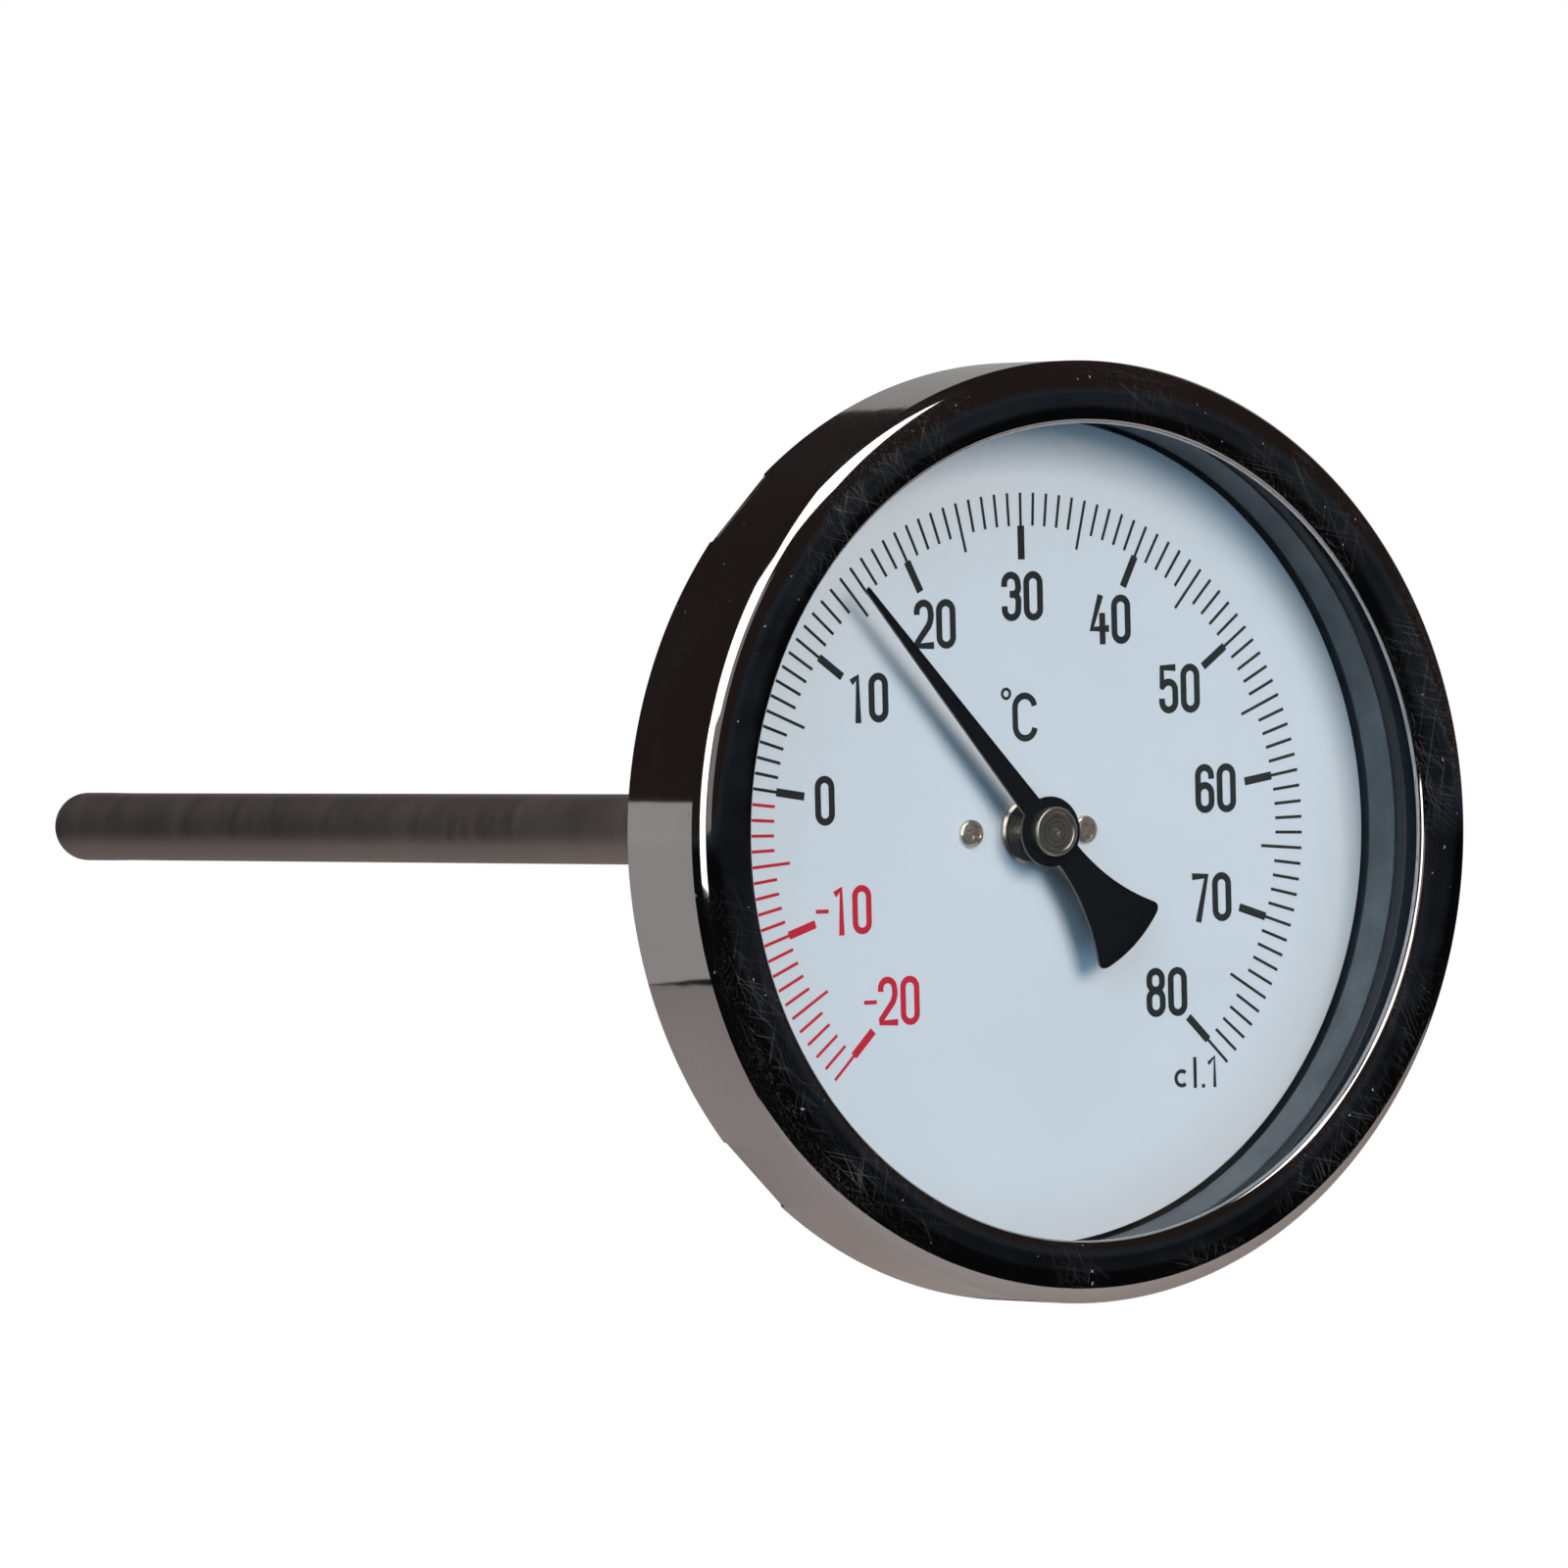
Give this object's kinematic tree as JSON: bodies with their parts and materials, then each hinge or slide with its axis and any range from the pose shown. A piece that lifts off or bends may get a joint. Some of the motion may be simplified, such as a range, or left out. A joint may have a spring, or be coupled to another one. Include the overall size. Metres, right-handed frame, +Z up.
{
  "type": "dial thermometer",
  "caption": "Round dial thermometer with a plated bezel, a glass window, a pointer over a -20 to 80 degree scale, and a long straight bimetal stem on the back",
  "frame": {"origin": "on the stem's axis, at the shoulder where its full diameter begins, just behind the threaded neck", "axes": "+Y along the stem from the case to its tip, +Z up through the 30 mark of the dial, +X to the right for the reader of the dial, who looks along +Y"},
  "size_m": [0.1024, 0.2125, 0.1024],
  "materials": {
    "bezel_metal": "polished nickel plate with fine scratches",
    "case_steel": "bright zinc plated sheet",
    "glass": "clear flat glass",
    "black_rubber": "matt moulded rubber",
    "grey_ring": "satin grey paint",
    "dial_enamel": "satin bluish white enamel with a printed scale",
    "pointer_black": "matt black lacquer",
    "nickel": "turned and nickel plated",
    "stem_steel": "fine ground stainless steel",
    "brass": "turned",
    "plated_steel": "bright zinc plate",
    "spindle_steel": "drawn",
    "bimetal": "rolled strip"
  },
  "bodies": {
    "housing": {"bezel": "bezel_metal", "case": "case_steel", "window": "glass", "window_gasket": "black_rubber", "spacer_ring": "grey_ring", "dial": "dial_enamel", "dial_bracket": "plated_steel", "dial_pillars": "brass", "dial_screws": "nickel", "centre_bush": "nickel", "bimetal_coil": "bimetal", "coil_anchor": "brass", "upper_guide": "brass", "lower_guide": "brass", "stem": "stem_steel", "stem_head": "brass", "head_seal": "black_rubber", "lock_washer": "plated_steel", "lock_nut": "plated_steel"},
    "movement": {"pointer": "pointer_black", "pointer_hub": "nickel", "spindle": "spindle_steel", "coil_collar": "brass"}
  },
  "joints": [
    {"name": "pointer_turn", "type": "hinge", "parent": "housing", "child": "movement", "pos_m": [0, 0, 0], "axis": [0, 1, 0], "range_deg": [-93.96, 176.04], "stiffness_Nm_per_rad": 0.00067, "deforming": ["bimetal_coil"]}
  ]
}
